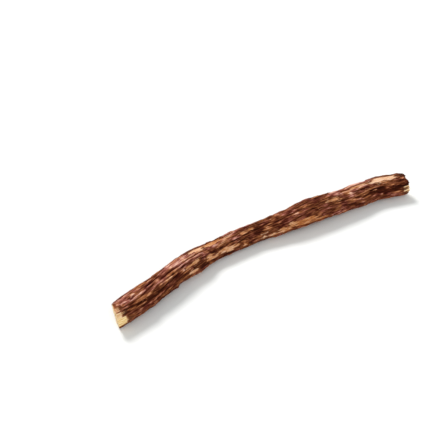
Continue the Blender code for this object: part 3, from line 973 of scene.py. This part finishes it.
def lay_copies(blank, name, places, sunk):
    """Lays a copy of the blank at each place, joins them to one piece and deletes the blank."""
    unit = np.array([point.co for point in blank.data.vertices])
    copies = []
    for along, angle, share, length, width, thick, turned, curl, look in places:
        one = np.array([float(along)]), np.array([float(angle)])
        base = share * float(plain_radius(*one)[0] + share * root_relief(*one)[0][0])
        ahead, aside, height = (unit * (length, width, thick)).T
        aside = aside * (1 + WIDTH_VARIES * noise.noise(Vector((along, angle, 1.0))))
        aside += WAVER * np.sin(WAVER_TURNS * unit[:, 0] + angle)
        height = height - sunk + curl * (unit[:, 0] + 0.5) ** 2
        turn = math.radians(turned)
        there = along + ahead * math.cos(turn) - aside * math.sin(turn)
        round_root = angle + np.degrees((ahead * math.sin(turn) + aside * math.cos(turn)) / base)
        points, grain = on_course(there, round_root, base + height)
        copy = bpy.data.objects.new(name, blank.data.copy())
        bpy.context.scene.collection.objects.link(copy)
        copy.data.vertices.foreach_set("co", (points * MM).ravel())
        full = {"inside": 2.0, "bare": 0.0, "pale": 0.0, "crest": 0.6, "tone": 0.0} | look
        spread = {key: np.full(len(unit), value) for key, value in full.items()}
        keep_attributes(copy, spread | {"grain": grain})
        copies.append(copy)
    bpy.data.objects.remove(blank)
    bpy.ops.object.select_all(action="DESELECT")
    for copy in copies:
        copy.select_set(True)
    bpy.context.view_layer.objects.active = copies[0]
    bpy.ops.object.join()
    joined = bpy.context.object
    joined.name = name
    joined.data.materials.append(bark)
    finish_piece(joined, COPY_SMOOTH)


# %% [markdown]
# Scales lie on the ridges where they catch the light, and more are scattered over the rest of the bark.
# Torn fibres start at the ends of the worn strips, and the last ones stick out of the far cut.

# %% Where scales lie
# (along, angle, length, width, turned, curl, tone)
SCALES_BY_HAND = [
    (2.4, 31, 1.4, 0.6, -10, 0.22, 0.5), (3.6, 20, 1.6, 0.6, 16, 0.2, 0.7), (6, 12, 1.6, 0.55, 6, 0.22, 0.7),
    (7.6, 1, 1.5, 0.6, 10, 0.22, 0.5), (9.6, 17, 2.2, 0.5, -8, 0.24, 0.9),
    (10.6, 58, 2.6, 0.45, 0, 0.18, 0.6), (11.4, 47, 2.2, 0.5, 12, 0.2, 0.6),
    (12.4, 15, 2.6, 0.5, 4, 0.2, 0.9), (15.5, 11, 2.2, 0.45, -3, 0.16, 0.7),
    (18.5, 38, 2.2, 0.45, -14, 0.18, 0.6), (21.5, 26, 1.8, 0.45, 8, 0.18, 0.5),
    (25, 4, 2.4, 0.5, 0, 0.16, 0.7), (29.5, 2, 2.0, 0.55, 6, 0.16, 0.7),
    (36.8, 92, 2.6, 0.55, 24, 0.24, 0.9), (40.8, 104, 2.8, 0.45, -10, 0.24, 0.9),
    (44.6, 84, 2.4, 1.5, 8, 0.2, -1.6),
    (63.2, 30, 2.2, 0.5, 4, 0.2, 0.7), (128, 32, 2.4, 0.55, 4, 0.2, 0.6), (133.5, 26, 2.6, 0.5, 2, 0.2, 0.7),
    (137.2, 7, 1.8, 0.6, 20, 0.24, 0.9), (142, 22, 2.2, 0.6, -6, 0.2, 0.4),
    (145.6, 10, 1.5, 0.6, 14, 0.24, 1.0), (146, -26, 2.6, 1.5, -6, 0.2, -1.8),
    (146.2, 46, 2.2, 1.3, -6, 0.16, -1.2), (146.4, -8, 2.4, 1.6, 8, 0.24, -1.8),
    (146.6, 13, 2.0, 1.0, -4, 0.2, 1.2), (147, 34, 2.4, 1.6, 8, 0.2, -1.8),
]
# Further round than this the side faces the table, and no scale or fibre is laid there
UNDERSIDE = 125
# The scattered ones: a lowest and a highest value, or a spread in degrees round the grain's direction
SCALES_SCATTERED = 110
SCALE_PLACES, SCALE_LENGTHS, SCALE_WIDTHS = (2, 144), (1.0, 3.2), (0.3, 0.65)
SCALE_TURN, SCALE_CURLS = 8, (0.04, 0.16)
SCALE_TONES, SCALE_CRESTS = (-0.8, 0.6), (0.2, 0.7)
SCALE_MOST_BARE = 0.1

random.seed(8)
scales = []
for along, angle, length, width, turned, curl, tone in SCALES_BY_HAND:
    scales.append((along, angle, 1.0, length, width, 1.0, turned, curl, {"tone": tone}))
while len(scales) < len(SCALES_BY_HAND) + SCALES_SCATTERED:
    along, angle = random.uniform(*SCALE_PLACES), random.uniform(-UNDERSIDE, UNDERSIDE)
    length, width = random.uniform(*SCALE_LENGTHS), random.uniform(*SCALE_WIDTHS)
    turned, curl = random.gauss(0, SCALE_TURN), random.uniform(*SCALE_CURLS)
    if bare_places(np.array([along]), np.array([angle % 360]))[0][0] < SCALE_MOST_BARE:
        look = {"tone": random.uniform(*SCALE_TONES), "crest": random.uniform(*SCALE_CRESTS)}
        scales.append((along, angle, 1.0, length, width, 1.0, turned, curl, look))
lay_copies(scale_blank, "bark_scales", scales, SCALE_SUNK)

# %% Where torn fibres lie
FIBRES_AT_PATCHES = 70
END_ZONE = 3.0
TORN_STARTS, TORN_PALENESS = (0.6, 1.05), (0.3, 1.0)
TORN_LENGTHS, TORN_WIDTHS, TORN_THICK = (2.0, 5.0), (0.12, 0.26), 0.14
TORN_TURN, TORN_CURLS = 5, (0.05, 0.35)
FIBRES_AT_FAR_CUT = 60
CUT_STARTS, CUT_SHARES, CUT_PALENESS = (0.2, 1.0), (0.35, 0.98), (0.8, 1.2, 1.3)
CUT_LENGTHS, CUT_WIDTHS, CUT_THICK = (1.6, 3.4), (0.15, 0.35), 0.2
CUT_TURN, CUT_CURLS = 4, (-0.1, 0.2)

patches = [patch for patch in BARE if END_ZONE < patch[0] < LENGTH - END_ZONE]
fibres_laid = []
while len(fibres_laid) < FIBRES_AT_PATCHES:
    place, turn, half_length, half_width, paleness = random.choice(patches)
    end = random.choice((-1, 1))
    along = place + end * half_length * random.uniform(*TORN_STARTS)
    along = min(max(along, END_ZONE), LENGTH - END_ZONE)
    reach = half_width * random.uniform(-1, 1) / float(smooth_through(GIRTH, np.array([along]))[0])
    angle = turn + math.degrees(reach)
    if abs(angle_between(angle, 0)) < UNDERSIDE:
        look = {"bare": 1.0, "pale": paleness * random.uniform(*TORN_PALENESS)}
        fibres_laid.append((
            along, angle, 1.0, random.uniform(*TORN_LENGTHS), random.uniform(*TORN_WIDTHS), TORN_THICK,
            random.gauss(0, TORN_TURN), random.uniform(*TORN_CURLS), look,
        ))
while len(fibres_laid) < FIBRES_AT_PATCHES + FIBRES_AT_FAR_CUT:
    along, angle = LENGTH - random.uniform(*CUT_STARTS), random.uniform(0, 360)
    share = random.uniform(*CUT_SHARES)
    look = {"bare": 1.0, "pale": random.choice(CUT_PALENESS)}
    fibres_laid.append((
        along, angle, share, random.uniform(*CUT_LENGTHS), random.uniform(*CUT_WIDTHS), CUT_THICK,
        random.gauss(0, CUT_TURN), random.uniform(*CUT_CURLS), look,
    ))
lay_copies(fibre_blank, "torn_fibres", fibres_laid, FIBRE_SUNK)
